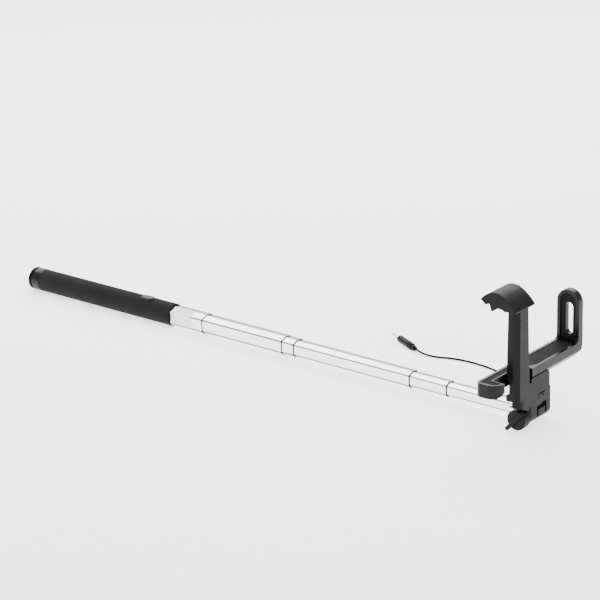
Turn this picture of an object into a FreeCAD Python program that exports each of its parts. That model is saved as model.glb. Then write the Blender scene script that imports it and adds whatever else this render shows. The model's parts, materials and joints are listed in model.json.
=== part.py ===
import FreeCAD, Part
import math
import os

# Telescopic selfie stick with a wired plug, in millimetres. One STEP file per sub-part.
# +X runs along the stick from the end cap to the phone holder, +Z is up, +Y is to the left.
# The origin is the centre of the end cap's outer face, on the stick's axis.
# The stick lies on a surface at z = FLOOR_Z, half extended, with the phone holder upright.

V = FreeCAD.Vector

# ---- handle ----
GRIP_R = 12.4
FLOOR_Z = -12.5
GRIP_X = (16.2, 209.3)
GRIP_ROUND = 1.0
CAP_RIM_R, CAP_GROOVE_R, CAP_SPIGOT_R = 12.5, 11.6, 8.9
CAP_RIM_X, CAP_RING_X, CAP_SPIGOT_END = 3.4, 5.0, 28.0
END_RING_R = 12.5

# ---- telescopic tubes: keyed section with a round bottom, straight sides and a low roof ----
TUBE_RADII = (11.5, 10.85, 10.15, 9.4, 8.55, 7.7)
TUBE_FRONTS = (254.5, 362.6, 378.0, 525.1, 569.8, 643.1)
TUBE_LENGTH = 190.0
TUBE_WALL = 0.35
KEY_SIDE, KEY_CREASE, KEY_ROOF = 0.87, (0.765, 0.68), 0.885
KEY_LEAN = 6.0
SLIDE_FIT = 0.08
GUIDE_RING_FLANGE, GUIDE_RING_SPIGOT = 0.9, 3.0
BUSH_LENGTH = 25.0
LABEL_X = (211.5, 240.0)
LABEL_THICK = 0.12

# ---- shutter button ----
BUTTON_X = 172.2
BUTTON_STRAIGHT = 7.0
BUTTON_R, FLANGE_R, BEZEL_R, BEZEL_HOLE_R, BEZEL_WELL_R = 4.2, 4.7, 5.7, 4.28, 5.0
BEZEL_CROWN_R, BUTTON_CROWN_R, BEZEL_LIP_Z = 12.9, 13.7, 12.3
FLANGE_Z = (11.6, 12.1)
BOARD_Z, SWITCH_Z = (10.3, 10.8), (10.8, 11.15)

# ---- tip of the stick and tilt hinge ----
FERRULE_X = (643.1, 648.9)
FERRULE_R = 7.45
TIP_SPIGOT_X, TIP_BORE_R = 630.0, 4.6
TIP_SCREW_X, TIP_SCREW_Z = 646.2, 1.2
HINGE_X = 667.3
HINGE_R = 8.3
EYE_R, EYE_GAP = 5.0, 0.3
TONGUE_HALF_W, TONGUE_HALF_H = 6.0, 4.8
BOLT_R, BOLT_FIT = 2.0, 0.06
BLOCK_HALF_W = 19.4
SPLIT_Z = 22.2
WINDOW_DEPTH = 2.8
KNOB_R, KNOB_Y = 10.2, (-29.6, -20.4)
WING_HALF_L, WING_HALF_W, WING_Y = 13.4, 1.9, (-33.8, -29.0)
WING_CLEAR_R, DISC_CLEAR_R = 15.3, 11.7
SHOULDER_Y, SHOULDER_ROUND = -35.6, 7.5
BASE_SCREWS_XY = ((663.2, -13.0), (663.2, 13.0))
BASE_SCREW_HEAD_R, BASE_SCREW_HEAD_Z = 2.2, (2.0, 4.0)
NUT_DEPTH, NUT_CORNER_R = 3.4, 4.05
WING_ANGLE = 48.0

# ---- holder body: foot, post and guard wall ----
FRONT_X = 675.6
REAR_X = 659.0
BODY_TOP_Z = 36.0
LIP_END_GAP = 4.0
SHELF_X, SHELF_Z = 652.0, 31.0
POST_Y = (-38.3, -14.0)
POST_REAR_X = (662.2, 664.6)
POST_TAPER = 3.0
POST_TOP_Z = 113.4
POST_CHAMFER = (5.2, 3.9)
STEM_XY = (670.0, -26.4)
STEM_BORE_R = 4.2
PORT_DEPTH = 6.4

# ---- sliding side bracket: tray and upright ----
TRAY_X = (650.5, 675.6)
TRAY_Y, TRAY_Z = -72.4, (36.3, 50.0)
UPRIGHT_Y = (67.0, 74.5)
UPRIGHT_PAD_Y = (67.9, 69.2)
BEND_R = 13.0
UPRIGHT_STRAIGHT_Z = 90.0
RIM, PAD_RECESS = 3.3, 1.8
TRAY_WALL = 2.2
NOTCH_Y = (-60.0, -13.6)
SEAM_Y = 5.5
INNER_ROUND = 5.0
NOTCH_X = 661.8
BRACKET_TRAVEL = 14.0
FRONT_CHAMFER = (3.6, 5.1)
NEAR_CORNER_R, REAR_CORNER_R = 13.0, 5.5
PAD_GAP = 0.5
GUIDE_SCREW_XY = (656.0, -4.0)
SLOT_X, SLOT_Z, SLOT_R = 663.9, (60.8, 85.2), 4.4

# ---- clamp hook ----
HOOK_Y = (-42.5, -10.5)
HOOK_OUTLINE = (
    (636.2, 121.1), ((641.0, 125.9), (646.9, 129.3)), ((654.5, 130.3), (661.9, 127.9)),
    ((670.0, 121.8), (676.2, 115.2)), (675.6, 113.9), (664.4, 113.9), (663.6, 113.1),
    ((656.5, 115.3), (649.6, 111.3)), (648.2, 111.3), (646.0, 118.2), (641.7, 116.5))
STEM_HALF = (1.3, 2.5)
STEM_Z = (38.0, 117.5)
SPRING_R, SPRING_WIRE_R, SPRING_TURNS = 3.5, 0.32, 17
SPRING_Z = (40.3, 108.4)

# ---- cord and plug ----
CORD_R = 1.15
CORD_Z = FLOOR_Z + CORD_R
GLAND_TIP_Y = 12.0
PLUG_TAIL = (467.2, 83.6)
PLUG_DIRECTION = (-0.9005, 0.4348)
PLUG_R = 3.9
PLUG_Z = FLOOR_Z + PLUG_R
JACK_R = 1.75
CORD_ROUTE = (
    (TIP_SCREW_X, GLAND_TIP_Y, 0.0), (TIP_SCREW_X, 23.0, 0.0), (645.6, 35.5, -4.6), (641.5, 50.0, -9.8),
    (629.5, 64.5, CORD_Z), (608.5, 73.5, CORD_Z), (585.0, 79.5, CORD_Z), (559.0, 89.7, CORD_Z),
    (531.0, 92.4, CORD_Z), (509.5, 89.8, CORD_Z), (494.5, 83.2, CORD_Z), (481.0, 80.8, CORD_Z + 0.8),
    (PLUG_TAIL[0] - PLUG_DIRECTION[0] * 6.0, PLUG_TAIL[1] - PLUG_DIRECTION[1] * 6.0, PLUG_Z),
    (PLUG_TAIL[0], PLUG_TAIL[1], PLUG_Z))

os.makedirs("parts", exist_ok=True)


def save(name, *solids):
    """Write the node's solids to its own STEP file."""
    shape = solids[0] if len(solids) == 1 else Part.makeCompound(list(solids))
    bad = [s for s in shape.Solids if not s.isValid() or s.Volume <= 0]
    if bad or not shape.Solids:
        raise ValueError(name + " has no valid solid")
    shape.exportStep("parts/%s.step" % name)
    print("%-18s %2d solid(s) %10.1f mm3" % (name, len(shape.Solids), shape.Volume))


# ---- small shape helpers ----

def box(xs, ys, zs):
    return Part.makeBox(xs[1] - xs[0], ys[1] - ys[0], zs[1] - zs[0], V(xs[0], ys[0], zs[0]))


def centred_box(x, y, half, zs):
    """A box centred on a vertical line, with half sizes in x and y."""
    return box((x - half[0], x + half[0]), (y - half[1], y + half[1]), zs)


def rod(start, end, radius):
    axis = V(*end) - V(*start)
    return Part.makeCylinder(radius, axis.Length, V(*start), axis)


def cone(start, end, r_start, r_end):
    axis = V(*end) - V(*start)
    return Part.makeCone(r_start, r_end, axis.Length, V(*start), axis)


def closed_wire(place, start, *steps):
    """A closed outline in a plane: a step is a point, or (middle, end) for an arc."""
    edges, here = [], start
    for step in steps + (start,):
        if isinstance(step[0], tuple):
            middle, end = step
            edges.append(Part.Arc(place(here), place(middle), place(end)).toShape())
        else:
            end = step
            if place(here).distanceToPoint(place(end)) < 1e-6:
                continue
            edges.append(Part.LineSegment(place(here), place(end)).toShape())
        here = end
    return Part.Wire(edges)


def prism_xz(ys, start, *steps):
    wire = closed_wire(lambda p: V(p[0], ys[0], p[1]), start, *steps)
    return Part.Face(wire).extrude(V(0, ys[1] - ys[0], 0))


def prism_yz(xs, start, *steps):
    wire = closed_wire(lambda p: V(xs[0], p[0], p[1]), start, *steps)
    return Part.Face(wire).extrude(V(xs[1] - xs[0], 0, 0))


def prism_xy(zs, start, *steps):
    wire = closed_wire(lambda p: V(p[0], p[1], zs[0]), start, *steps)
    return Part.Face(wire).extrude(V(0, 0, zs[1] - zs[0]))


def edges_where(shape, test):
    return [edge for edge in shape.Edges if test(edge)]


def is_near(value, target, reach=0.02):
    return abs(value - target) < reach


def along(edge, axis):
    """True if a straight edge runs along x, y or z."""
    box_ = edge.BoundBox
    spans = {"x": box_.XLength, "y": box_.YLength, "z": box_.ZLength}
    return spans.pop(axis) > 0.1 and max(spans.values()) < 1e-3


def keyed_bar(radius, x_start, x_end):
    """A bar with the tubes' keyed section."""
    lean = math.radians(KEY_LEAN)

    def place(p):
        y, z = p[0] * radius, p[1] * radius
        return V(x_start, y * math.cos(lean) - z * math.sin(lean), y * math.sin(lean) + z * math.cos(lean))

    low = -math.sqrt(1 - KEY_SIDE ** 2)
    wire = closed_wire(place, (KEY_SIDE, low), KEY_CREASE, (0.0, KEY_ROOF), (-KEY_CREASE[0], KEY_CREASE[1]),
                       (-KEY_SIDE, low), ((0.0, -1.0), (KEY_SIDE, low)))
    return Part.Face(wire).extrude(V(x_end - x_start, 0, 0))


def leaned(shape):
    """Turns a shape about the stick's axis by the tubes' lean, top towards -Y."""
    shape.rotate(V(0, 0, 0), V(1, 0, 0), KEY_LEAN)
    return shape


def stadium(radius, zs):
    """An oval prism square to the tubes' ridge, centred on the button."""
    left, right = BUTTON_X - BUTTON_STRAIGHT / 2, BUTTON_X + BUTTON_STRAIGHT / 2
    return leaned(prism_xy(zs, (left, -radius), (right, -radius), ((right + radius, 0.0), (right, radius)),
                           (left, radius), ((left - radius, 0.0), (left, -radius))))


# ---- handle ----

def make_end_cap():
    dish_r, dish_depth, edge = 7.0, 0.6, 0.9
    cap = rod((0, 0, 0), (CAP_RIM_X, 0, 0), CAP_RIM_R)
    cap = cap.makeFillet(edge, edges_where(cap, lambda e: is_near(e.BoundBox.XMax, 0)))
    cap = cap.fuse([rod((CAP_RIM_X, 0, 0), (CAP_RING_X, 0, 0), CAP_GROOVE_R),
                    rod((CAP_RING_X, 0, 0), (CAP_SPIGOT_END, 0, 0), CAP_SPIGOT_R)])
    bore = rod((CAP_RING_X + 1, 0, 0), (CAP_SPIGOT_END + 1, 0, 0), CAP_SPIGOT_R - 1.4)
    dish = rod((0, dish_r + 1.5, 0), (dish_depth, dish_r + 1.5, 0), 0.9)
    return cap.cut([bore, dish]).removeSplitter()


def make_end_ring():
    edge = 0.9
    ring = rod((CAP_RING_X, 0, 0), (GRIP_X[0], 0, 0), END_RING_R)
    ring = ring.makeFillet(edge, edges_where(ring, lambda e: e.BoundBox.XLength < 1e-3))
    return ring.cut(rod((0, 0, 0), (GRIP_X[0] + 1, 0, 0), CAP_SPIGOT_R))


def make_grip_sleeve():
    sleeve = rod((GRIP_X[0], 0, 0), (GRIP_X[1], 0, 0), GRIP_R)
    sleeve = sleeve.makeFillet(GRIP_ROUND, edges_where(sleeve, lambda e: e.BoundBox.XLength < 1e-3))
    return sleeve.cut([keyed_bar(TUBE_RADII[0], 0, GRIP_X[1] + 1), stadium(BEZEL_R, (0, GRIP_R + 2))])


def crowned_oval(radius, bottom_z, crown_r, edge):
    """An oval prism whose top follows a cylinder about the stick's axis, with a rounded rim."""
    crown = rod((GRIP_X[0], 0, 0), (GRIP_X[1], 0, 0), crown_r)
    oval = stadium(radius, (bottom_z, crown_r + 1)).common(crown)
    rim = edges_where(oval, lambda e: all(is_near(math.hypot(v.Y, v.Z), crown_r, 0.01) for v in e.Vertexes))
    return oval.makeFillet(edge, rim)


def make_button_bezel():
    edge = 0.35
    bottom_z = TUBE_RADII[0] / 2
    bezel = crowned_oval(BEZEL_R, bottom_z, BEZEL_CROWN_R, edge)
    hole = stadium(BEZEL_HOLE_R, (bottom_z, BEZEL_CROWN_R + 1))
    well = stadium(BEZEL_WELL_R, (bottom_z, BEZEL_LIP_Z))
    return bezel.cut([hole, well, keyed_bar(TUBE_RADII[0], *GRIP_X)])


def make_shutter_button():
    edge = 0.7
    dome = crowned_oval(BUTTON_R, FLANGE_Z[1], BUTTON_CROWN_R, edge)
    return dome.fuse(stadium(FLANGE_R, FLANGE_Z)).removeSplitter()


def make_switch():
    half_board, half_case, plunger_r = (7.0, 3.2), 2.3, 1.0
    board = centred_box(BUTTON_X, 0, half_board, BOARD_Z)
    case_top = SWITCH_Z[1] - 0.15
    case = centred_box(BUTTON_X, 0, (half_case, half_case), (SWITCH_Z[0], case_top))
    plunger = rod((BUTTON_X, 0, case_top), (BUTTON_X, 0, SWITCH_Z[1]), plunger_r)
    return leaned(board), leaned(case.fuse(plunger).removeSplitter())


def make_label():
    skin = keyed_bar(TUBE_RADII[0] + LABEL_THICK, *LABEL_X).cut(keyed_bar(TUBE_RADII[0], *LABEL_X))
    window = box(LABEL_X, (-GRIP_R, 0.5), (-6.0, GRIP_R))
    return max(skin.common(window).Solids, key=lambda s: s.Volume)


# ---- tubes ----

def make_tube(index):
    """Tube 1 is fixed in the handle; each later tube slides in the one before it."""
    radius, front = TUBE_RADII[index], TUBE_FRONTS[index]
    rear = GRIP_X[0] if index == 0 else front - TUBE_LENGTH
    return keyed_bar(radius, rear, front).cut(keyed_bar(radius - TUBE_WALL, rear - 1, front + 1))


def make_guide_ring(index):
    """The flanged ring in the mouth of tube index, which guides the next tube."""
    radius, front = TUBE_RADII[index], TUBE_FRONTS[index]
    rear, tip = front - GUIDE_RING_SPIGOT, front + GUIDE_RING_FLANGE
    ring = keyed_bar(radius, front, tip).fuse(keyed_bar(radius - TUBE_WALL, rear, front))
    return ring.cut(keyed_bar(TUBE_RADII[index + 1] + SLIDE_FIT, rear - 1, tip + 1)).removeSplitter()


def make_slide_bush(index):
    """A thin plastic sleeve on the rear end of tube index, running inside the tube before it."""
    rear = TUBE_FRONTS[index] - TUBE_LENGTH
    outer = keyed_bar(TUBE_RADII[index - 1] - TUBE_WALL - SLIDE_FIT, rear, rear + BUSH_LENGTH)
    return outer.cut(keyed_bar(TUBE_RADII[index], rear - 1, rear + BUSH_LENGTH + 1))


# ---- tip and hinge ----

def tip_screw():
    head_r, shank_r, head_y = 1.4, 0.9, (-6.7, -5.6)
    head = rod((TIP_SCREW_X, head_y[0], TIP_SCREW_Z), (TIP_SCREW_X, head_y[1], TIP_SCREW_Z), head_r)
    shank = rod((TIP_SCREW_X, head_y[1], TIP_SCREW_Z), (TIP_SCREW_X, -2.0, TIP_SCREW_Z), shank_r)
    return head.fuse(shank)


def screw_slot():
    """The driver slot across the tip screw's head."""
    return box((TIP_SCREW_X - 2, TIP_SCREW_X + 2), (-7.5, -6.3), (TIP_SCREW_Z - 0.2, TIP_SCREW_Z + 0.2))


def cable_gland():
    root_y, root_r, neck_r, tip_r = 5.0, 2.6, 2.2, 1.5
    flange = rod((TIP_SCREW_X, root_y, 0), (TIP_SCREW_X, root_y + 2.2, 0), root_r)
    taper = cone((TIP_SCREW_X, root_y + 2.2, 0), (TIP_SCREW_X, GLAND_TIP_Y, 0), neck_r, tip_r)
    return flange.fuse(taper)


def make_ferrule():
    inner_r = TUBE_RADII[-1] - TUBE_WALL
    ferrule = keyed_bar(FERRULE_R, *FERRULE_X).fuse(keyed_bar(inner_r, TIP_SPIGOT_X, FERRULE_X[0]))
    bore = rod((TIP_SPIGOT_X - 1, 0, 0), (FERRULE_X[1] + 1, 0, 0), TIP_BORE_R)
    return ferrule.cut([bore, tip_screw(), cable_gland()]).removeSplitter()


def make_hinge_tongue():
    width = (-TONGUE_HALF_W, TONGUE_HALF_W)
    spigot = rod((TIP_SPIGOT_X + 2, 0, 0), (FERRULE_X[1], 0, 0), TIP_BORE_R)
    collar = keyed_bar(TONGUE_HALF_W + 0.6, FERRULE_X[1], FERRULE_X[1] + 1.6)
    neck = box((FERRULE_X[1], HINGE_X), width, (-TONGUE_HALF_H, TONGUE_HALF_H))
    eye = rod((HINGE_X, width[0], 0), (HINGE_X, width[1], 0), EYE_R)
    bolt_hole = rod((HINGE_X, -9, 0), (HINGE_X, 9, 0), BOLT_R + BOLT_FIT)
    tongue = spigot.fuse([collar, neck, eye])
    return tongue.cut([bolt_hole, tip_screw(), cable_gland()]).removeSplitter()


def hinge_slot():
    """The space the tongue swings in: open at the rear, at the rear top and at the bottom."""
    half, front = TONGUE_HALF_W + EYE_GAP, HINGE_X + EYE_R + EYE_GAP
    rear, top, bottom = REAR_X - 2, 18.5, -HINGE_R - 2
    return prism_xz((-half, half), (front, bottom), (front, 3.0), (HINGE_X + 3.5, 6.5),
                    (HINGE_X - 8.3, 17.4), (rear, top), (rear, bottom))


def nut_pocket(radius_extra, ys):
    """A hexagonal prism about the hinge's axis."""
    across = NUT_CORNER_R + radius_extra
    corners = [(HINGE_X + across * math.cos(math.radians(60 * i)), across * math.sin(math.radians(60 * i)))
               for i in range(6)]
    return prism_xz(ys, corners[0], *corners[1:])


def knob_shoulder():
    """The block's top carries on over the knob, hollowed to clear the turning disc and wings."""
    shoulder = box((HINGE_X, FRONT_X), (SHOULDER_Y, -BLOCK_HALF_W + SHOULDER_ROUND), (0.0, SPLIT_Z))
    corner = edges_where(shoulder, lambda e: along(e, "z")
                         and is_near(e.BoundBox.YMax, SHOULDER_Y)
                         and e.BoundBox.XMin > HINGE_X)
    shoulder = shoulder.makeFillet(SHOULDER_ROUND, corner)
    step_y, inner_y = KNOB_Y[0] - 0.1, -BLOCK_HALF_W
    wing_room = rod((HINGE_X, SHOULDER_Y - 1, 0), (HINGE_X, step_y, 0), WING_CLEAR_R)
    disc_room = cone((HINGE_X, step_y, 0), (HINGE_X, inner_y, 0), WING_CLEAR_R, DISC_CLEAR_R)
    inside = box((REAR_X, FRONT_X), (inner_y, 0), (0.0, DISC_CLEAR_R))
    return shoulder.cut([wing_room, disc_room, inside])


def make_hinge_block():
    half = BLOCK_HALF_W
    block = prism_xz((-half, half), (REAR_X, SPLIT_Z), (REAR_X, 0.0),
                     ((HINGE_X, -HINGE_R), (FRONT_X, 0.0)), (FRONT_X, SPLIT_Z))
    near_r, far_r = 4.5, 2.0
    front_edges = edges_where(block, lambda e: along(e, "z") and is_near(e.BoundBox.XMin, FRONT_X))
    near = [e for e in front_edges if e.BoundBox.YMin < 0]
    block = block.makeFillet(near_r, near)
    far = edges_where(block, lambda e: is_near(e.BoundBox.YMin, half) and e.BoundBox.YLength < 1e-3
                      and e.BoundBox.XMax > HINGE_X and e.BoundBox.ZMin < SPLIT_Z - 1)
    block = block.makeFillet(far_r, far).fuse(knob_shoulder())
    bolt_hole = rod((HINGE_X, -half - 1, 0), (HINGE_X, half + 1, 0), BOLT_R + BOLT_FIT)
    window = box((FRONT_X - WINDOW_DEPTH, FRONT_X + 1), (-5.3, 11.0), (-2.6, 10.1))
    groove, groove_depth = 1.3, 2.0
    clip_y, clip_z = (-2.8, 8.4), (15.9, 20.9)
    clip_x = (FRONT_X - groove_depth, FRONT_X + 1)
    clip_side = box(clip_x, (clip_y[0], clip_y[0] + groove), clip_z)
    clip_top = box(clip_x, clip_y, (clip_z[1] - groove, clip_z[1]))
    clip_pit = rod((FRONT_X - 1.0, 5.2, 17.6), (FRONT_X + 1, 5.2, 17.6), 1.1)
    return block.cut([hinge_slot(), bolt_hole, window, clip_side, clip_top, clip_pit,
                      nut_pocket(0.0, (half - NUT_DEPTH, half + 1))] + base_screws()).removeSplitter()


def make_latch_tab():
    edge = 0.5
    tab = box((FRONT_X - WINDOW_DEPTH, FRONT_X - 0.3), (-2.2, 9.4), (-2.6, 4.4))
    return tab.makeFillet(edge, edges_where(tab, lambda e: is_near(e.BoundBox.XMin, FRONT_X - 0.3)))


def make_hinge_nut():
    ys = (BLOCK_HALF_W - NUT_DEPTH, BLOCK_HALF_W - 0.2)
    bore = rod((HINGE_X, ys[0] - 1, 0), (HINGE_X, ys[1] + 1, 0), BOLT_R + BOLT_FIT)
    return nut_pocket(0.0, ys).cut(bore)


def hinge_bolt():
    head_depth = 4.0
    shank = rod((HINGE_X, KNOB_Y[1] - head_depth, 0), (HINGE_X, BLOCK_HALF_W - 0.4, 0), BOLT_R)
    key = nut_pocket(-0.5, (KNOB_Y[1] - head_depth, KNOB_Y[1] - head_depth + 2.6))
    return shank.fuse(key).removeSplitter()


def make_wing_knob():
    edge = 1.2
    disc = rod((HINGE_X, KNOB_Y[0], 0), (HINGE_X, KNOB_Y[1], 0), KNOB_R)
    disc = disc.makeFillet(edge, edges_where(disc, lambda e: is_near(e.BoundBox.YMax, KNOB_Y[0])))
    wing = box((HINGE_X - WING_HALF_L, HINGE_X + WING_HALF_L), WING_Y, (-WING_HALF_W, WING_HALF_W))
    wing = wing.makeFillet(edge, edges_where(wing, lambda e: along(e, "z")))
    wing.rotate(V(HINGE_X, 0, 0), V(0, 1, 0), -WING_ANGLE)
    return disc.fuse(wing).cut(hinge_bolt()).removeSplitter()


def make_friction_washers():
    """One thin washer each side of the tongue, in the slot's side clearance."""
    thick, washer_r = EYE_GAP - 0.1, 4.4
    washers = []
    for side in (-1, 1):
        near, far = side * (TONGUE_HALF_W + 0.05), side * (TONGUE_HALF_W + 0.05 + thick)
        disc = rod((HINGE_X, near, 0), (HINGE_X, far, 0), washer_r)
        bore = rod((HINGE_X, near - side, 0), (HINGE_X, far + side, 0), BOLT_R + BOLT_FIT)
        washers.append(disc.cut(bore))
    return washers


def base_screws():
    """Two screws from the hinge block's underside up into the holder body."""
    shank_r, top_z = 1.2, 29.0
    bottom, neck = BASE_SCREW_HEAD_Z
    screws = []
    for x, y in BASE_SCREWS_XY:
        head = rod((x, y, bottom), (x, y, neck), BASE_SCREW_HEAD_R)
        screws.append(head.fuse(rod((x, y, neck), (x, y, top_z), shank_r)))
    return screws


def screw_wells():
    """Open wells below the base screws' heads."""
    return [rod((x, y, -HINGE_R - 1), (x, y, BASE_SCREW_HEAD_Z[0]), BASE_SCREW_HEAD_R + 0.1)
            for x, y in BASE_SCREWS_XY]


# ---- holder body ----

def post_outline(rear_x, right_y):
    dx, dy = POST_CHAMFER
    return ((rear_x, POST_Y[0]), (FRONT_X - dx, POST_Y[0]), (FRONT_X, POST_Y[0] + dy),
            (FRONT_X, right_y - dy), (FRONT_X - dx, right_y), (rear_x, right_y))


def make_post():
    wires = []
    for z, rear_x, right_y in ((SPLIT_Z, POST_REAR_X[0], POST_Y[1]),
                               (POST_TOP_Z, POST_REAR_X[1], POST_Y[1] - POST_TAPER)):
        points = [V(x, y, z) for x, y in post_outline(rear_x, right_y)]
        wires.append(Part.makePolygon(points + points[:1]))
    return Part.makeLoft(wires, True, True)


def shelf_slot():
    """The slot in the shelf that the side bracket's guide screw travels in."""
    x, r = GUIDE_SCREW_XY[0], 1.6
    y0, y1 = GUIDE_SCREW_XY[1], GUIDE_SCREW_XY[1] + BRACKET_TRAVEL
    return prism_xy((SHELF_Z - 1, BODY_TOP_Z + 1), (x - r, y0), ((x, y0 - r), (x + r, y0)),
                    (x + r, y1), ((x, y1 + r), (x - r, y1)))


def port_shape(ys):
    """XZ outline of the dark port in the post's near side."""
    return prism_xz(ys, (660.5, 28.2), (664.6, 28.2), (668.6, 34.5), (668.6, 43.4), (660.5, 43.4))


def make_port_plug():
    """A rubber blank at the bottom of the port."""
    blank = port_shape((POST_Y[0] + 3.0, POST_Y[0] + PORT_DEPTH - 0.1))
    return blank.common(box((POST_REAR_X[0] + 1.5, 668.5), (POST_Y[0], 0), (28.3, 43.3)))


def front_lip():
    """A wedge on the body's top front edge that fills the groove under the tray's chamfer."""
    gap, tip_z = 0.35, 40.0
    rise = FRONT_CHAMFER[1] / FRONT_CHAMFER[0]
    foot_x = FRONT_X - FRONT_CHAMFER[0] + gap
    tip_x = foot_x + (tip_z - BODY_TOP_Z) / rise
    return prism_xz((POST_Y[1] - 1, BLOCK_HALF_W - LIP_END_GAP), (foot_x, BODY_TOP_Z), (tip_x, tip_z),
                    (FRONT_X, tip_z), (FRONT_X, BODY_TOP_Z - 1), (foot_x, BODY_TOP_Z - 1))


def make_holder_body():
    corner = 4.0
    foot = box((REAR_X, FRONT_X), (-BLOCK_HALF_W, BLOCK_HALF_W), (SPLIT_Z, BODY_TOP_Z))
    front_edges = edges_where(foot, lambda e: along(e, "z") and is_near(e.BoundBox.XMin, FRONT_X))
    foot = foot.makeFillet(corner, [e for e in front_edges if e.BoundBox.YMin > 0])
    shelf = box((SHELF_X, REAR_X + 1), (-BLOCK_HALF_W, BLOCK_HALF_W), (SHELF_Z, BODY_TOP_Z))
    body = foot.fuse([shelf, front_lip(), make_post()])
    x, y = STEM_XY
    bore = rod((x, y, SPLIT_Z + 3), (x, y, POST_TOP_Z + 1), STEM_BORE_R)
    port = port_shape((POST_Y[0] - 1, POST_Y[0] + PORT_DEPTH))
    return body.cut([bore, port, shelf_slot()] + base_screws()).removeSplitter()


def make_post_bush():
    """The plug in the top of the post that guides the hook's flat stem."""
    x, y = STEM_XY
    bush = rod((x, y, SPRING_Z[1]), (x, y, POST_TOP_Z), STEM_BORE_R)
    half = (STEM_HALF[0] + SLIDE_FIT, STEM_HALF[1] + SLIDE_FIT)
    return bush.cut(centred_box(x, y, half, (SPRING_Z[1] - 1, POST_TOP_Z + 1)))


# ---- side bracket ----

def guide_screw():
    x, y = GUIDE_SCREW_XY
    head = rod((x, y, SHELF_Z - 2.2), (x, y, SHELF_Z - 0.3), 2.8)
    return head.fuse(rod((x, y, SHELF_Z - 0.3), (x, y, TRAY_Z[1] - PAD_RECESS - 2.2), 1.25))


def tray_pad_outline(inset):
    """Plan outlines of the two tray pads: the near one beside the post, the far one at the upright."""
    x0, x1 = TRAY_X[0] + RIM + inset, TRAY_X[1] - RIM - inset
    y_end, neck_x = TRAY_Y + RIM + inset, NOTCH_X - 1.6 - inset
    y_neck, y_meet = NOTCH_Y[0] - 1.4 - inset, -16.0
    round_r = 6.0
    nip = round_r * (1 - math.sqrt(0.5))
    near = ((x0, y_end), (x1 - round_r, y_end), ((x1 - nip, y_end + nip), (x1, y_end + round_r)),
            (x1, y_neck), (neck_x, y_neck), (neck_x, y_meet), (x0, y_meet))
    y_in, y_far = -13.0, UPRIGHT_Y[0] - 0.2
    far = ((x0, y_in), (x1 - 11.0, y_in), ((x1 - 2.2, y_in + 7.0), (x1, y_in + 20.0)),
           (x1, y_far), (x0, y_far))
    return near, far


def upright_outline(x_inset, bottom_z):
    """XZ outline of the upright: straight sides and a round top."""
    x0, x1 = TRAY_X[0] + x_inset, TRAY_X[1] - x_inset
    middle, radius = (x0 + x1) / 2, (x1 - x0) / 2
    return ((x0, bottom_z), (x1, bottom_z), (x1, UPRIGHT_STRAIGHT_Z),
            ((middle, UPRIGHT_STRAIGHT_Z + radius), (x0, UPRIGHT_STRAIGHT_Z)))


def upright_slot():
    x0, x1 = SLOT_X - SLOT_R, SLOT_X + SLOT_R
    return prism_xz((UPRIGHT_Y[0] - 1, UPRIGHT_Y[1] + 1), (x0, SLOT_Z[0]),
                    ((SLOT_X, SLOT_Z[0] - SLOT_R), (x1, SLOT_Z[0])), (x1, SLOT_Z[1]),
                    ((SLOT_X, SLOT_Z[1] + SLOT_R), (x0, SLOT_Z[1])))


def bracket_profile():
    """The L-shaped blank: a tray that bends up into the upright, cut to the upright's outline."""
    top, bottom = TRAY_Z[1], TRAY_Z[0]
    bend_y, bend_z, diagonal = UPRIGHT_Y[1] - BEND_R, bottom + BEND_R, BEND_R * math.sqrt(0.5)
    roof_z = UPRIGHT_STRAIGHT_Z + (TRAY_X[1] - TRAY_X[0])
    inner = INNER_ROUND * (1 - math.sqrt(0.5))
    blank = prism_yz(TRAY_X, (TRAY_Y, bottom), (bend_y, bottom),
                     ((bend_y + diagonal, bend_z - diagonal), (UPRIGHT_Y[1], bend_z)),
                     (UPRIGHT_Y[1], roof_z), (UPRIGHT_Y[0], roof_z), (UPRIGHT_Y[0], top + INNER_ROUND),
                     ((UPRIGHT_Y[0] - inner, top + inner), (UPRIGHT_Y[0] - INNER_ROUND, top)),
                     (TRAY_Y, top))
    outline = upright_outline(0, bottom)
    chamfer = ((TRAY_X[1] - FRONT_CHAMFER[0], bottom), (TRAY_X[1], bottom + FRONT_CHAMFER[1]))
    outline = outline[:1] + chamfer + outline[2:]
    return blank.common(prism_xz((TRAY_Y - 1, UPRIGHT_Y[1] + 1), *outline))


def near_end_edges(shape, at_front):
    """Upright edges at the tray's near end, on the front or the rear side."""
    ends = edges_where(shape, lambda e: along(e, "z") and is_near(e.BoundBox.YMax, TRAY_Y))
    return [e for e in ends if (e.BoundBox.XMin > HINGE_X) == at_front]


def tray_hollow():
    """The space under the tray's floor, less its ribs, the guide screw's boss and the notch's wall."""
    bottom, ceiling, wall = TRAY_Z[0], TRAY_Z[1] - PAD_RECESS - TRAY_WALL, TRAY_WALL
    rib_thick, boss_r = 1.6, 3.2
    hollow = box((TRAY_X[0] + wall, TRAY_X[1] - 2.5 * wall), (TRAY_Y + 3 * wall, UPRIGHT_Y[1] - BEND_R - 2),
                 (bottom - 1, ceiling))
    keep = [box(TRAY_X, (y, y + rib_thick), (bottom, TRAY_Z[1])) for y in (-56.0, -12.8, 20.0, 40.0)]
    keep.append(rod((*GUIDE_SCREW_XY, bottom), (*GUIDE_SCREW_XY, TRAY_Z[1]), boss_r))
    notch_wall_y = (NOTCH_Y[0] - wall, NOTCH_Y[1] + wall)
    keep.append(box((NOTCH_X - wall, TRAY_X[1]), notch_wall_y, (bottom - 2, TRAY_Z[1])))
    return hollow.cut(keep)


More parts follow.
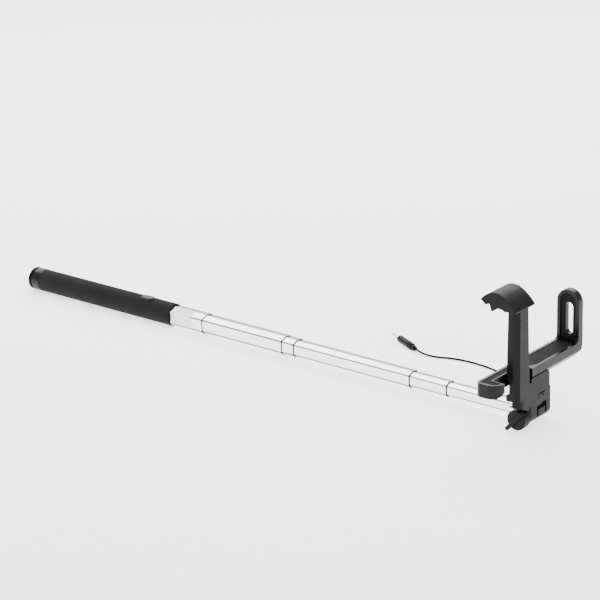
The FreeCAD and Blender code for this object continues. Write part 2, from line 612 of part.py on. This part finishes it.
def make_side_bracket():
    top, bottom = TRAY_Z[1], TRAY_Z[0]
    body = bracket_profile()
    body = body.makeFillet(NEAR_CORNER_R, near_end_edges(body, True))
    body = body.makeFillet(REAR_CORNER_R, near_end_edges(body, False))
    notch = box((NOTCH_X, TRAY_X[1] + 1), NOTCH_Y, (bottom - 1, top + 1))
    seam_z = (bottom + FRONT_CHAMFER[1], top - 0.9)
    seam = box((TRAY_X[1] - 0.3, TRAY_X[1] + 1), (SEAM_Y, SEAM_Y + 0.4), seam_z)
    recess_z = (top - PAD_RECESS, top + INNER_ROUND + 1)
    recesses = [prism_xy(recess_z, *outline) for outline in tray_pad_outline(0.0)]
    upright_recess = upright_outline(RIM + 0.4, top - PAD_RECESS)
    recesses.append(prism_xz((UPRIGHT_Y[0] - 1, UPRIGHT_PAD_Y[1]), *upright_recess))
    cuts = [tray_hollow(), notch, seam, upright_slot(), guide_screw()] + recesses
    return body.cut(cuts).removeSplitter()


def make_pads():
    thick = (TRAY_Z[1] - PAD_RECESS, TRAY_Z[1] - 0.5)
    near, far = [prism_xy(thick, *outline) for outline in tray_pad_outline(PAD_GAP)]
    upright = prism_xz(UPRIGHT_PAD_Y, *upright_outline(RIM + 0.4 + PAD_GAP, TRAY_Z[1] - 0.3))
    return near, far, upright.cut(upright_slot())


# ---- clamp hook ----

def make_clamp_hook():
    body = prism_xz(HOOK_Y, *HOOK_OUTLINE)
    socket = centred_box(*STEM_XY, STEM_HALF, (POST_TOP_Z - 1, STEM_Z[1]))
    return body.cut([socket, hook_pad()])


def hook_pad():
    """The rubber strip under the arch, between the tooth and the post."""
    inset = 0.6
    return prism_xz((HOOK_Y[0] + inset, HOOK_Y[1] - inset), (650.8, 112.3),
                    ((656.5, 115.35), (662.9, 113.4)), (662.9, 114.6), ((656.5, 116.5), (650.8, 113.6)))


def make_stem():
    """Returns the flat stem, the disc at its foot that the spring pushes, and the screw that holds it."""
    x, y = STEM_XY
    screw_r, head_r, screw_depth, head_thick = 0.8, 3.0, 7.5, 1.4
    stem = centred_box(x, y, STEM_HALF, STEM_Z)
    hole = rod((x, y, STEM_Z[0] - 1), (x, y, STEM_Z[0] + screw_depth + 0.5), screw_r)
    foot_z = (STEM_Z[0] + 0.4, SPRING_Z[0] - 0.1)
    foot = rod((x, y, foot_z[0]), (x, y, foot_z[1]), STEM_BORE_R - 0.3)
    foot = foot.cut(centred_box(x, y, STEM_HALF, (foot_z[0] - 1, foot_z[1] + 1)))
    head = rod((x, y, STEM_Z[0] - head_thick), (x, y, STEM_Z[0]), head_r)
    screw = head.fuse(rod((x, y, STEM_Z[0]), (x, y, STEM_Z[0] + screw_depth), screw_r))
    return stem.cut(hole), foot, screw


def make_clamp_spring():
    x, y = STEM_XY
    height = SPRING_Z[1] - SPRING_Z[0] - 2 * SPRING_WIRE_R - 0.1
    helix = Part.makeHelix(height / SPRING_TURNS, height, SPRING_R)
    start = Part.Circle(V(SPRING_R, 0, 0), V(0, 1, 0), SPRING_WIRE_R).toShape()
    spring = Part.Wire(helix.Edges).makePipeShell([Part.Wire([start])], True, True)
    spring.translate(V(x, y, SPRING_Z[0] + SPRING_WIRE_R + 0.05))
    return spring


# ---- cord and plug ----

def cord_path(points):
    """Straight runs joined by tangent arcs, each as large as its two runs allow."""
    share = 0.45
    points = [V(*p) for p in points]
    edges, start = [], points[0]
    for before, corner, after in zip(points, points[1:], points[2:]):
        into, out = (corner - before), (after - corner)
        reach = share * min(into.Length, out.Length)
        turn = into.getAngle(out)
        first = corner - into.normalize() * reach
        last = corner + out.normalize() * reach
        radius = reach / math.tan(turn / 2)
        bisector = (first + last) * 0.5 - corner
        middle = corner + bisector.normalize() * (math.hypot(radius, reach) - radius)
        edges.append(Part.LineSegment(start, first).toShape())
        edges.append(Part.Arc(first, middle, last).toShape())
        print("cord turn %5.1f deg, radius %6.1f mm" % (math.degrees(turn), radius))
        start = last
    edges.append(Part.LineSegment(start, points[-1]).toShape())
    return Part.Wire(edges)


def make_cable():
    path = cord_path(CORD_ROUTE)
    first = V(*CORD_ROUTE[1]) - V(*CORD_ROUTE[0])
    section = Part.Wire([Part.Circle(V(*CORD_ROUTE[0]), first, CORD_R).toShape()])
    cable = path.makePipeShell([section], True, False)
    print("cord length %.1f mm, volume ratio %.4f"
          % (path.Length, cable.Volume / (path.Length * math.pi * CORD_R ** 2)))
    return cable


def on_plug(distance):
    """A point on the plug's axis, at a distance from its tail."""
    x, y = [tail + step * distance for tail, step in zip(PLUG_TAIL, PLUG_DIRECTION)]
    return x, y, PLUG_Z


def plug_rod(span, radius):
    return rod(on_plug(span[0]), on_plug(span[1]), radius)


def make_plug():
    """Returns the collar, the moulded body, the metal contacts and the insulating rings."""
    body_start, body_end, shoulder_end = 6.5, 35.0, 36.2
    collar = cone(on_plug(0), on_plug(2.0), 2.0, 2.9).fuse(plug_rod((2.0, body_start), 2.9))
    body = plug_rod((body_start, body_end), PLUG_R)
    body = body.makeFillet(0.9, edges_where(body, lambda e: len(e.Vertexes) == 1))
    grip_rings = [plug_rod((at, at + 0.7), PLUG_R + 1).cut(plug_rod((at, at + 0.7), PLUG_R - 0.45))
                  for at in (8.6, 10.4, 12.2)]
    body = body.cut(grip_rings)
    shoulder = plug_rod((body_end, shoulder_end), 2.9)
    contacts = [shoulder.fuse(plug_rod((shoulder_end, shoulder_end + 6.4), JACK_R))]
    insulators, at = [], shoulder_end + 6.4
    for length in (2.2, 2.2, 1.6):
        insulators.append(plug_rod((at, at + 0.6), JACK_R))
        contacts.append(plug_rod((at + 0.6, at + 0.6 + length), JACK_R))
        at += 0.6 + length
    neck = cone(on_plug(at), on_plug(at + 0.5), JACK_R, 1.25)
    bulb = cone(on_plug(at + 0.5), on_plug(at + 1.1), 1.25, 1.6)
    point = cone(on_plug(at + 1.1), on_plug(at + 2.4), 1.6, 0.5)
    contacts[-1] = contacts[-1].fuse([neck, bulb, point]).removeSplitter()
    return collar, body, contacts, insulators


# ---- write every node ----

save("end_cap", make_end_cap())
save("end_ring", make_end_ring())
save("grip_sleeve", make_grip_sleeve())
save("button_bezel", make_button_bezel())
save("shutter_button", make_shutter_button())
switch_board, tact_switch = make_switch()
save("switch_board", switch_board)
save("tact_switch", tact_switch)
save("blank_label", make_label())
for tube_index in range(len(TUBE_RADII)):
    save("tube_%d" % (tube_index + 1), make_tube(tube_index))
    if tube_index > 0:
        save("slide_bush_%d" % (tube_index + 1), make_slide_bush(tube_index))
        save("guide_ring_%d" % tube_index, make_guide_ring(tube_index - 1))
save("tip_ferrule", make_ferrule())
save("tip_screw", tip_screw().cut(screw_slot()))
save("hinge_tongue", make_hinge_tongue())
save("hinge_block", make_hinge_block().cut(screw_wells()))
save("latch_tab", make_latch_tab())
save("hinge_bolt", hinge_bolt())
save("hinge_nut", make_hinge_nut())
save("friction_washers", *make_friction_washers())
save("wing_knob", make_wing_knob())
save("base_screws", *base_screws())
save("holder_body", make_holder_body())
save("post_bush", make_post_bush())
save("port_plug", make_port_plug())
save("side_bracket", make_side_bracket())
near_pad, far_pad, upright_pad = make_pads()
save("tray_pad_near", near_pad)
save("tray_pad_far", far_pad)
save("upright_pad", upright_pad)
save("guide_screw", guide_screw())
save("clamp_hook", make_clamp_hook())
save("hook_pad", hook_pad())
clamp_stem, stem_foot, stem_screw = make_stem()
save("clamp_stem", clamp_stem)
save("stem_foot", stem_foot)
save("stem_screw", stem_screw)
save("clamp_spring", make_clamp_spring())
save("cable_gland", cable_gland())
save("cable", make_cable())
plug_collar, plug_body, plug_contacts, plug_insulators = make_plug()
save("plug_collar", plug_collar)
save("plug_body", plug_body)
save("plug_contacts", *plug_contacts)
save("plug_insulators", *plug_insulators)
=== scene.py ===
import json
import math

import bmesh
import bpy
from mathutils import Matrix, Vector


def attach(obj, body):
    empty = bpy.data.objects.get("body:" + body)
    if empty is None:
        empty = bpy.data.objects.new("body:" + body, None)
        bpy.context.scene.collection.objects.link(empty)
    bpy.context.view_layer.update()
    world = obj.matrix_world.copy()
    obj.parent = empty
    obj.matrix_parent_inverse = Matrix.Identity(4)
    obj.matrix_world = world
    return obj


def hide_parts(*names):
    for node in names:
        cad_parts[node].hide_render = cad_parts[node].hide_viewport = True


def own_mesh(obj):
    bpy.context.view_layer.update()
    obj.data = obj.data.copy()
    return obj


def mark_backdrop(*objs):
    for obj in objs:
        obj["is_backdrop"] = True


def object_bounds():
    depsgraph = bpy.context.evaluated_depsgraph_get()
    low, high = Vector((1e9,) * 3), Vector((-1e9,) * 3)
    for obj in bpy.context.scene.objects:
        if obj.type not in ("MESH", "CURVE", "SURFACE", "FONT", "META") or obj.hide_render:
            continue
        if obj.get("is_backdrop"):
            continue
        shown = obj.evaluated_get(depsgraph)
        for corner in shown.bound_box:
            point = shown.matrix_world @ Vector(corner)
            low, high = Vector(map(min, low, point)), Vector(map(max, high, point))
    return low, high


# Looks of the telescopic selfie stick, in metres, in the CAD model's own frame.

FLOOR_Z = -0.0125

# Foam grip, and the oval hole in its top for the button's bezel.
GRIP_R, GRIP_X, GRIP_ROUND = 0.0124, (0.0162, 0.2093), 0.0006
GRIP_AROUND, GRIP_ALONG, GRIP_ROUND_STEPS = 120, 150, 7
BORE_GAP, SKIN_DEPTH = 0.00003, 0.0002
BUTTON_X, BEZEL_R, BEZEL_STRAIGHT = 0.1722, 0.00575, 0.007
HOLE_Z, HOLE_STEPS = (0.004, 0.016), 24

# The tubes' keyed outline, as shares of a tube's radius.
TUBE_R, KEY_LEAN = 0.0115, math.radians(6.0)
KEY_SIDE, KEY_CREASE, KEY_ROOF = 0.87, (0.765, 0.68), 0.885
KEY_LOW = -math.sqrt(1 - KEY_SIDE ** 2)

CORD_R = 0.00115
CORD_Z = FLOOR_Z + CORD_R
PLUG_TAIL, PLUG_DIRECTION, PLUG_Z = (0.4672, 0.0836), (-0.9005, 0.4348), -0.0086
CORD_END = (PLUG_TAIL[0] - PLUG_DIRECTION[0] * 0.006, PLUG_TAIL[1] - PLUG_DIRECTION[1] * 0.006, PLUG_Z)
CORD_ROUTE = (
    (0.6462, 0.0120, 0.0), (0.6462, 0.0230, 0.0), (0.6456, 0.0355, -0.0046), (0.6415, 0.0500, -0.0098),
    (0.6295, 0.0645, CORD_Z), (0.6085, 0.0735, CORD_Z), (0.5850, 0.0795, CORD_Z), (0.5590, 0.0897, CORD_Z),
    (0.5310, 0.0924, CORD_Z), (0.5095, 0.0898, CORD_Z), (0.4945, 0.0832, CORD_Z),
    (0.4810, 0.0808, CORD_Z + 0.0008), CORD_END, (PLUG_TAIL[0], PLUG_TAIL[1], PLUG_Z))

# Studio: camera angles in degrees, light strengths in watts for the softbox.
CAMERA_PLACE, CAMERA_LENS, SENSOR_WIDTH = (1.8397, -1.7810, 0.9073), 144.0, 36.0
CAMERA_AZIMUTH, CAMERA_ELEVATION, CAMERA_ROLL = 39.284, 20.356, 1.691
FLOOR_SIZE, FLOOR_GLOW, WORLD_GLOW = 14.0, 1.7, 1.15
FILL_TOWARD, FILL_STRENGTH, FILL_ANGLE = (-0.45, 0.6, -1.0), 0.9, 60.0
SOFTBOX_PLACE, SOFTBOX_TARGET = (-0.3, 0.83, 1.22), (0.38, 0.0, 0.03)
SOFTBOX_SIZE, SOFTBOX_WATTS = (2.6, 1.7), 66.0

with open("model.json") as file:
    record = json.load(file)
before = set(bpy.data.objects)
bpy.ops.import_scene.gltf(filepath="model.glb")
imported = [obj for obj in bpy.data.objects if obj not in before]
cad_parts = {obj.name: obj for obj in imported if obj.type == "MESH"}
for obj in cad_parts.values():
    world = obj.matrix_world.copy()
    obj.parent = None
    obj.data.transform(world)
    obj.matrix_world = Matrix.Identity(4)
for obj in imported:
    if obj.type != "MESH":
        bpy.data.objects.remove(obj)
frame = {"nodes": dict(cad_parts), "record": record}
bounds_at_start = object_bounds()


# ---- shader nodes ----

def new_material(name):
    material = bpy.data.materials.new(name)
    material.use_nodes = True
    nodes, links = material.node_tree.nodes, material.node_tree.links
    return material, nodes, links, nodes["Principled BSDF"]


def feed(links, socket, value):
    """Give a socket another node's output, or a plain number or colour."""
    if isinstance(value, bpy.types.NodeSocket):
        links.new(value, socket)
    elif isinstance(value, tuple):
        socket.default_value = (*value, 1.0)
    else:
        socket.default_value = value


def object_coordinates(nodes, links, stretch=(1.0, 1.0, 1.0), lean=0.0):
    coordinates = nodes.new("ShaderNodeTexCoord")
    mapping = nodes.new("ShaderNodeMapping")
    mapping.inputs["Scale"].default_value = stretch
    mapping.inputs["Rotation"].default_value = (lean, 0.0, 0.0)
    links.new(coordinates.outputs["Object"], mapping.inputs["Vector"])
    return mapping.outputs["Vector"]


def noise(nodes, links, vector, scale, detail=3.0):
    node = nodes.new("ShaderNodeTexNoise")
    node.inputs["Scale"].default_value = scale
    node.inputs["Detail"].default_value = detail
    node.inputs["Roughness"].default_value = 0.55
    links.new(vector, node.inputs["Vector"])
    return node.outputs["Fac"]


def spread(nodes, links, value, low, high, from_low=0.3, from_high=0.7):
    node = nodes.new("ShaderNodeMapRange")
    node.inputs["From Min"].default_value = from_low
    node.inputs["From Max"].default_value = from_high
    node.inputs["To Min"].default_value = low
    node.inputs["To Max"].default_value = high
    links.new(value, node.inputs["Value"])
    return node.outputs["Result"]


def mix_colours(nodes, links, factor, first, second):
    node = nodes.new("ShaderNodeMix")
    node.data_type = "RGBA"
    feed(links, node.inputs["A"], first)
    feed(links, node.inputs["B"], second)
    links.new(factor, node.inputs["Factor"])
    return node.outputs["Result"]


def math_node(nodes, links, operation, first, second=0.0):
    node = nodes.new("ShaderNodeMath")
    node.operation = operation
    feed(links, node.inputs[0], first)
    feed(links, node.inputs[1], second)
    return node.outputs["Value"]


def add_bump(nodes, links, shader, height, strength, distance, edge=None):
    """Surface grain; with edge, corners also catch the light as if rounded to that radius."""
    node = nodes.new("ShaderNodeBump")
    node.inputs["Strength"].default_value = strength
    node.inputs["Distance"].default_value = distance
    links.new(height, node.inputs["Height"])
    if edge:
        rounded = nodes.new("ShaderNodeBevel")
        rounded.samples = 6
        rounded.inputs["Radius"].default_value = edge
        links.new(rounded.outputs["Normal"], node.inputs["Normal"])
    links.new(node.outputs["Normal"], shader.inputs["Normal"])


def shaded_colour(colour, share):
    return tuple(min(1.0, part * share) for part in colour)


# ---- materials ----

def moulded(name, colour, roughness, grain=0.25, edge=0.0004, specular=0.5):
    """Moulded plastic or rubber with a fine spark-eroded grain."""
    material, nodes, links, shader = new_material(name)
    vector = object_coordinates(nodes, links)
    broad = noise(nodes, links, vector, 60.0, 2.0)
    fine = noise(nodes, links, vector, 2600.0, 2.0)
    tone = mix_colours(nodes, links, broad, shaded_colour(colour, 0.86), shaded_colour(colour, 1.14))
    links.new(tone, shader.inputs["Base Color"])
    links.new(spread(nodes, links, broad, roughness - 0.04, roughness + 0.05), shader.inputs["Roughness"])
    shader.inputs["Specular IOR Level"].default_value = specular
    add_bump(nodes, links, shader, fine, grain, 0.00006, edge)
    return material


def foam(name):
    """Closed-cell foam: matt, with pin-prick cells and a slightly uneven skin."""
    material, nodes, links, shader = new_material(name)
    vector = object_coordinates(nodes, links)
    cells = nodes.new("ShaderNodeTexVoronoi")
    cells.feature = "F1"
    cells.inputs["Scale"].default_value = 2200.0
    links.new(vector, cells.inputs["Vector"])
    pores = spread(nodes, links, cells.outputs["Distance"], 0.0, 1.0, 0.05, 0.55)
    broad = noise(nodes, links, vector, 45.0)
    tone = mix_colours(nodes, links, broad, (0.006, 0.006, 0.0065), (0.010, 0.010, 0.011))
    links.new(tone, shader.inputs["Base Color"])
    shader.inputs["Roughness"].default_value = 0.9
    shader.inputs["Specular IOR Level"].default_value = 0.12
    shader.inputs["Sheen Weight"].default_value = 0.03
    shader.inputs["Sheen Roughness"].default_value = 0.6
    add_bump(nodes, links, shader, pores, 0.5, 0.00012)
    return material


def painted_crease_reflection(nodes, links):
    """How dark the tubes' creases are drawn, a painted reflection of a dark horizon: strong at both creases,
    fainter at the ridge, 0 on the flats.
    """
    split = nodes.new("ShaderNodeSeparateXYZ")
    links.new(object_coordinates(nodes, links, lean=-KEY_LEAN), split.inputs["Vector"])
    side = math_node(nodes, links, "ABSOLUTE", split.outputs["Y"])
    turn = math_node(nodes, links, "ARCTAN2", split.outputs["Z"], side)
    crease, low_crease, ridge = math.atan2(KEY_CREASE[1], KEY_CREASE[0]), math.asin(KEY_LOW), math.pi / 2
    total = 0.0
    for angle, weight in ((crease, 0.95), (low_crease, 0.95), (ridge, 0.4)):
        away = math_node(nodes, links, "ABSOLUTE", math_node(nodes, links, "SUBTRACT", turn, angle))
        line = spread(nodes, links, away, weight, 0.0, 0.055, 0.115)
        total = math_node(nodes, links, "MAXIMUM", line, total)
    return total


def bright_steel(name, colour, roughness):
    """Drawn and polished tube: faint draw lines along X, and a painted reflection: dark lines down its
    creases.
    """
    material, nodes, links, shader = new_material(name)
    lines = noise(nodes, links, object_coordinates(nodes, links, (3.0, 900.0, 900.0)), 1.0, 2.0)
    smudge = noise(nodes, links, object_coordinates(nodes, links), 38.0, 4.0)
    flats = mix_colours(nodes, links, smudge, shaded_colour(colour, 0.96), colour)
    # Painted reflection: the base colour turns near black along the creases and the ridge.
    flats_with_painted_reflection = mix_colours(nodes, links, painted_crease_reflection(nodes, links), flats, (0.05, 0.047, 0.045))
    links.new(flats_with_painted_reflection, shader.inputs["Base Color"])
    shader.inputs["Metallic"].default_value = 1.0
    links.new(spread(nodes, links, smudge, roughness - 0.03, roughness + 0.05), shader.inputs["Roughness"])
    add_bump(nodes, links, shader, lines, 0.08, 0.00002, 0.0003)
    return material


def plain_metal(name, colour, roughness):
    material, nodes, links, shader = new_material(name)
    grain = noise(nodes, links, object_coordinates(nodes, links), 900.0)
    tone = mix_colours(nodes, links, grain, shaded_colour(colour, 0.85), colour)
    links.new(tone, shader.inputs["Base Color"])
    shader.inputs["Metallic"].default_value = 1.0
    links.new(spread(nodes, links, grain, roughness - 0.05, roughness + 0.08), shader.inputs["Roughness"])
    add_bump(nodes, links, shader, grain, 0.1, 0.00003, 0.00015)
    return material


MATERIALS = {
    "foam": foam("foam"),
    "black_plastic": moulded("black_plastic", (0.0035, 0.0035, 0.0038), 0.38, specular=0.10),
    "gloss_black": moulded("gloss_black", (0.002, 0.002, 0.0022), 0.24, 0.05, specular=0.20),
    "satin_black": moulded("satin_black", (0.0022, 0.0022, 0.0024), 0.26, 0.15, edge=0.0006, specular=0.16),
    "grey_plastic": moulded("grey_plastic", (0.0046, 0.0046, 0.0052), 0.38, edge=0.0005, specular=0.10),
    "steel": bright_steel("steel", (0.93, 0.905, 0.87), 0.1),
    "ferrule_metal": bright_steel("ferrule_metal", (0.90, 0.88, 0.85), 0.16),
    "screw_steel": plain_metal("screw_steel", (0.32, 0.32, 0.33), 0.35),
    "pad_rubber": moulded("pad_rubber", (0.0090, 0.0064, 0.0066), 0.62, 0.5, edge=0.0002, specular=0.06),
    "bush_plastic": moulded("bush_plastic", (0.62, 0.61, 0.58), 0.45),
    "board": moulded("board", (0.03, 0.12, 0.05), 0.4),
    "label_film": moulded("label_film", (0.94, 0.935, 0.93), 0.5, 0.1, edge=0.00005),
    "cord_rubber": moulded("cord_rubber", (0.005, 0.005, 0.0054), 0.5, 0.3, edge=0.0002, specular=0.1),
    "plug_metal": plain_metal("plug_metal", (0.82, 0.80, 0.76), 0.22),
    "plug_insulator": moulded("plug_insulator", (0.012, 0.012, 0.012), 0.3, 0.05, edge=0.00005),
}
SLOT_OF = {part["node"]: part["material_slot"] for part in frame["record"]["subparts"]}


def dress(obj, slot_name):
    obj.data.materials.clear()
    obj.data.materials.append(MATERIALS[slot_name])
    return obj


def shade(obj, angle=32.0):
    """Smooth shading that keeps creases sharper than the angle, in degrees."""
    obj.data.polygons.foreach_set("use_smooth", [True] * len(obj.data.polygons))
    obj.data.set_sharp_from_angle(angle=math.radians(angle))
    obj.data.update()


for node_name, node_object in frame["nodes"].items():
    dress(node_object, SLOT_OF[node_name])
    shade(node_object)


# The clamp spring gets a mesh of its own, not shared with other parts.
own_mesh(frame["nodes"]["clamp_spring"])


# ---- foam grip ----

def mesh_object(name, bm):
    bmesh.ops.recalc_face_normals(bm, faces=bm.faces)
    mesh = bpy.data.meshes.new(name)
    bm.to_mesh(mesh)
    bm.free()
    obj = bpy.data.objects.new(name, mesh)
    bpy.context.scene.collection.objects.link(obj)
    return obj


def join_rings(bm, first, second):
    """A band of quads between two closed rings of points."""
    for i in range(len(first)):
        j = (i + 1) % len(first)
        bm.faces.new((first[i], first[j], second[j], second[i]))


def keyed_radius(turn):
    """Distance from the axis to the first tube's keyed outline, at an angle from +Y towards +Z."""
    turn -= KEY_LEAN
    y, z = math.cos(turn), math.sin(turn)
    if z <= KEY_LOW:
        return TUBE_R
    side_slope = (KEY_SIDE - KEY_CREASE[0]) / (KEY_CREASE[1] - KEY_LOW)
    side = (KEY_SIDE + side_slope * KEY_LOW) / (abs(y) + side_slope * z)
    roof_slope = (KEY_ROOF - KEY_CREASE[1]) / KEY_CREASE[0]
    roof = KEY_ROOF / (z + roof_slope * abs(y)) if z > 0 else side
    return TUBE_R * min(side, roof)


def grip_profile():
    """(x, radius) round the sleeve's wall; a radius of None follows the tube's outline."""
    x0, x1 = GRIP_X
    corner = []
    for i in range(GRIP_ROUND_STEPS + 1):
        turn = math.radians(90 * i / GRIP_ROUND_STEPS)
        corner.append((GRIP_ROUND * (1 - math.cos(turn)), GRIP_R - GRIP_ROUND * (1 - math.sin(turn))))
    straight = x1 - x0 - 2 * GRIP_ROUND
    points = [(x0, None)]
    points += [(x0 + inset, radius) for inset, radius in corner]
    points += [(x0 + GRIP_ROUND + straight * i / GRIP_ALONG, GRIP_R) for i in range(1, GRIP_ALONG)]
    points += [(x1 - inset, radius) for inset, radius in reversed(corner)]
    points.append((x1, None))
    return points


def skin_wave(x, turn):
    """Foam is never quite true: a shallow unevenness, always inwards."""
    slow = math.sin(x * 61.0 + 2.0 * math.sin(turn * 2.0)) + math.sin(turn * 3.0 + x * 37.0)
    quick = math.sin(x * 410.0 + 5.0 * turn) * math.sin(turn * 9.0 - x * 230.0)
    return -0.00006 - 0.00002 * slow - 0.00001 * quick


def grip_radius(x, radius, turn):
    if radius is None:
        return keyed_radius(turn) + BORE_GAP
    if radius > GRIP_R - SKIN_DEPTH:
        return radius + skin_wave(x, turn)
    return radius


def button_cutter():
    """An upright oval prism, a little larger than the bezel."""
    bm = bmesh.new()
    outline = []
    for side in (1, -1):
        for i in range(HOLE_STEPS + 1):
            turn = math.radians(-90 + 180 * i / HOLE_STEPS)
            outline.append((BUTTON_X + side * (BEZEL_STRAIGHT / 2 + BEZEL_R * math.cos(turn)),
                            side * BEZEL_R * math.sin(turn)))
    lean = Matrix.Rotation(KEY_LEAN, 3, "X")
    low, high = ([bm.verts.new(lean @ Vector((x, y, z))) for x, y in outline] for z in HOLE_Z)
    bm.faces.new(low[::-1])
    bm.faces.new(high)
    join_rings(bm, low, high)
    return mesh_object("button_cutter", bm)


def make_grip():
    bm = bmesh.new()
    rings = []
    for x, radius in grip_profile():
        ring = []
        for i in range(GRIP_AROUND):
            turn = 2 * math.pi * i / GRIP_AROUND
            r = grip_radius(x, radius, turn)
            ring.append(bm.verts.new((x, r * math.cos(turn), r * math.sin(turn))))
        rings.append(ring)
    for first, second in zip(rings, rings[1:] + rings[:1]):
        join_rings(bm, first, second)
    grip = mesh_object("foam_grip", bm)
    cutter = button_cutter()
    cut = grip.modifiers.new("button_hole", "BOOLEAN")
    cut.operation, cut.solver, cut.object = "DIFFERENCE", "EXACT", cutter
    bpy.context.view_layer.update()
    cut_mesh = bpy.data.meshes.new_from_object(grip.evaluated_get(bpy.context.evaluated_depsgraph_get()))
    grip.modifiers.clear()
    grip.data = cut_mesh
    bpy.data.objects.remove(cutter)
    shade(grip, 40.0)
    return grip


grip = dress(make_grip(), "foam")
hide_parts("grip_sleeve")
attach(grip, "handle")


# ---- cord ----

def make_cord():
    curve = bpy.data.curves.new("cord", "CURVE")
    curve.dimensions = "3D"
    curve.bevel_depth, curve.bevel_resolution, curve.resolution_u = CORD_R, 5, 14
    curve.use_fill_caps = True
    spline = curve.splines.new("NURBS")
    spline.points.add(len(CORD_ROUTE) - 1)
    for point, place in zip(spline.points, CORD_ROUTE):
        point.co = (*place, 1.0)
    spline.order_u = 3
    spline.use_endpoint_u = True
    obj = bpy.data.objects.new("cord", curve)
    bpy.context.scene.collection.objects.link(obj)
    return obj


cord = dress(make_cord(), "cord_rubber")
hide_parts("cable")
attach(cord, "stage_6")


# ---- floor, light and camera ----

def make_floor():
    bpy.ops.mesh.primitive_plane_add(size=FLOOR_SIZE, location=(0.3, 0.0, FLOOR_Z))
    floor = bpy.context.object
    material, nodes, links, shader = new_material("floor_paper")
    mottle = noise(nodes, links, object_coordinates(nodes, links), 4.0, 2.0)
    tone = mix_colours(nodes, links, mottle, (0.90, 0.90, 0.90), (0.93, 0.93, 0.93))
    links.new(tone, shader.inputs["Base Color"])
    shader.inputs["Roughness"].default_value = 0.9
    shader.inputs["Specular IOR Level"].default_value = 0.1
    shader.inputs["Emission Color"].default_value = (1.0, 0.995, 0.985, 1.0)
    shader.inputs["Emission Strength"].default_value = FLOOR_GLOW
    floor.data.materials.append(material)
    return floor


def make_light(name, kind, strength, toward):
    data = bpy.data.lights.new(name, kind)
    data.energy = strength
    light = bpy.data.objects.new(name, data)
    bpy.context.scene.collection.objects.link(light)
    light.rotation_euler = Vector(toward).to_track_quat("-Z", "Y").to_euler()
    return light


def make_fill():
    light = make_light("fill", "SUN", FILL_STRENGTH, FILL_TOWARD)
    light.data.angle = math.radians(FILL_ANGLE)
    return light


def make_softbox():
    light = make_light("softbox", "AREA", SOFTBOX_WATTS, Vector(SOFTBOX_TARGET) - Vector(SOFTBOX_PLACE))
    light.data.shape = "RECTANGLE"
    light.data.size, light.data.size_y = SOFTBOX_SIZE
    light.location = SOFTBOX_PLACE
    return light


def make_world():
    world = bpy.data.worlds.new("studio")
    world.use_nodes = True
    background = world.node_tree.nodes["Background"]
    background.inputs["Color"].default_value = (1.0, 1.0, 1.0, 1.0)
    background.inputs["Strength"].default_value = WORLD_GLOW
    bpy.context.scene.world = world


def make_camera():
    azimuth, elevation, roll = (math.radians(a) for a in (CAMERA_AZIMUTH, CAMERA_ELEVATION, CAMERA_ROLL))
    level = Vector((math.cos(azimuth), math.sin(azimuth), 0.0))
    forward = Vector((-math.sin(azimuth) * math.cos(elevation), math.cos(azimuth) * math.cos(elevation),
                      -math.sin(elevation)))
    down = forward.cross(level)
    right = level * math.cos(roll) + down * math.sin(roll)
    down = down * math.cos(roll) - level * math.sin(roll)
    data = bpy.data.cameras.new("camera")
    data.lens, data.sensor_width, data.clip_start, data.clip_end = CAMERA_LENS, SENSOR_WIDTH, 0.05, 50.0
    camera = bpy.data.objects.new("camera", data)
    bpy.context.scene.collection.objects.link(camera)
    turn = Matrix((right, -down, -forward)).transposed().to_4x4()
    camera.matrix_world = Matrix.Translation(CAMERA_PLACE) @ turn
    bpy.context.scene.camera = camera


floor = make_floor()
lights = [make_fill(), make_softbox()]
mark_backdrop(floor, *lights)
make_world()
make_camera()

bounds_at_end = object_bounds()


def plain_lists(value):
    if isinstance(value, dict):
        return {key: plain_lists(item) for key, item in value.items()}
    if isinstance(value, (int, float, str)) or value is None:
        return value
    return [plain_lists(item) for item in value]


{"at_start": plain_lists(bounds_at_start), "at_end": plain_lists(bounds_at_end)}
